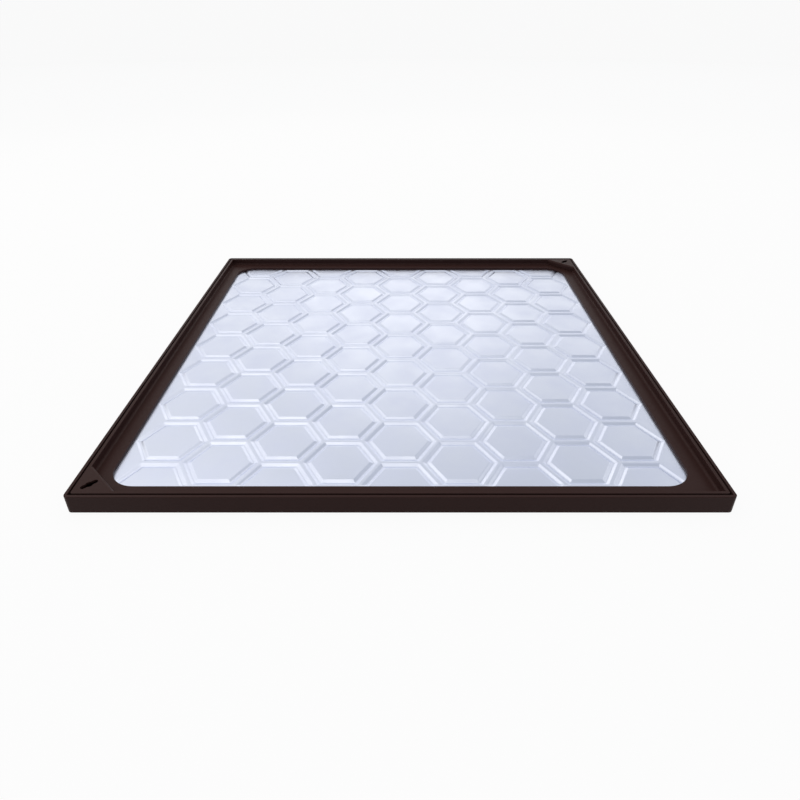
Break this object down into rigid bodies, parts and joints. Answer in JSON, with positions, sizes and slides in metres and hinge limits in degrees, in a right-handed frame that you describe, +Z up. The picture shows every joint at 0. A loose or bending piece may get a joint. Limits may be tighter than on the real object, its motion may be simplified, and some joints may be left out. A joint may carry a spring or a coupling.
{
  "type": "recessed paving cover",
  "caption": "Square recessed cover for a paved floor: a welded steel frame and a shallow lid tray floored with honeycomb-pressed sheet, with lifting key slots at opposite corners.",
  "frame": {"origin": "middle of the frame's footprint, on the surface that the frame is bedded on", "axes": "+Z up, out of the ground; +X to the right and +Y to the back as the picture shows the cover, so its key slots are at the front left (-X, -Y) and back right (+X, +Y) corners and the cells' flat sides run along X"},
  "size_m": [0.6, 0.6, 0.0185],
  "materials": {
    "painted_frame_steel": "dark brown powder coat, semi-gloss",
    "painted_lid_steel": "dark brown powder coat, semi-gloss",
    "zinc_coated_sheet": "zinc-coated, pale and softly reflective",
    "seal_rubber": "matt black"
  },
  "bodies": {
    "root": {"frame_rail_front": "painted_frame_steel", "frame_rail_right": "painted_frame_steel", "frame_rail_back": "painted_frame_steel", "frame_rail_left": "painted_frame_steel", "seat_seal_front": "seal_rubber", "seat_seal_right": "seal_rubber", "seat_seal_back": "seal_rubber", "seat_seal_left": "seal_rubber", "lid_tray": "painted_lid_steel", "honeycomb_panel": "zinc_coated_sheet", "key_plate_front_left": "painted_lid_steel", "key_plate_back_right": "painted_lid_steel"}
  },
  "joints": []
}
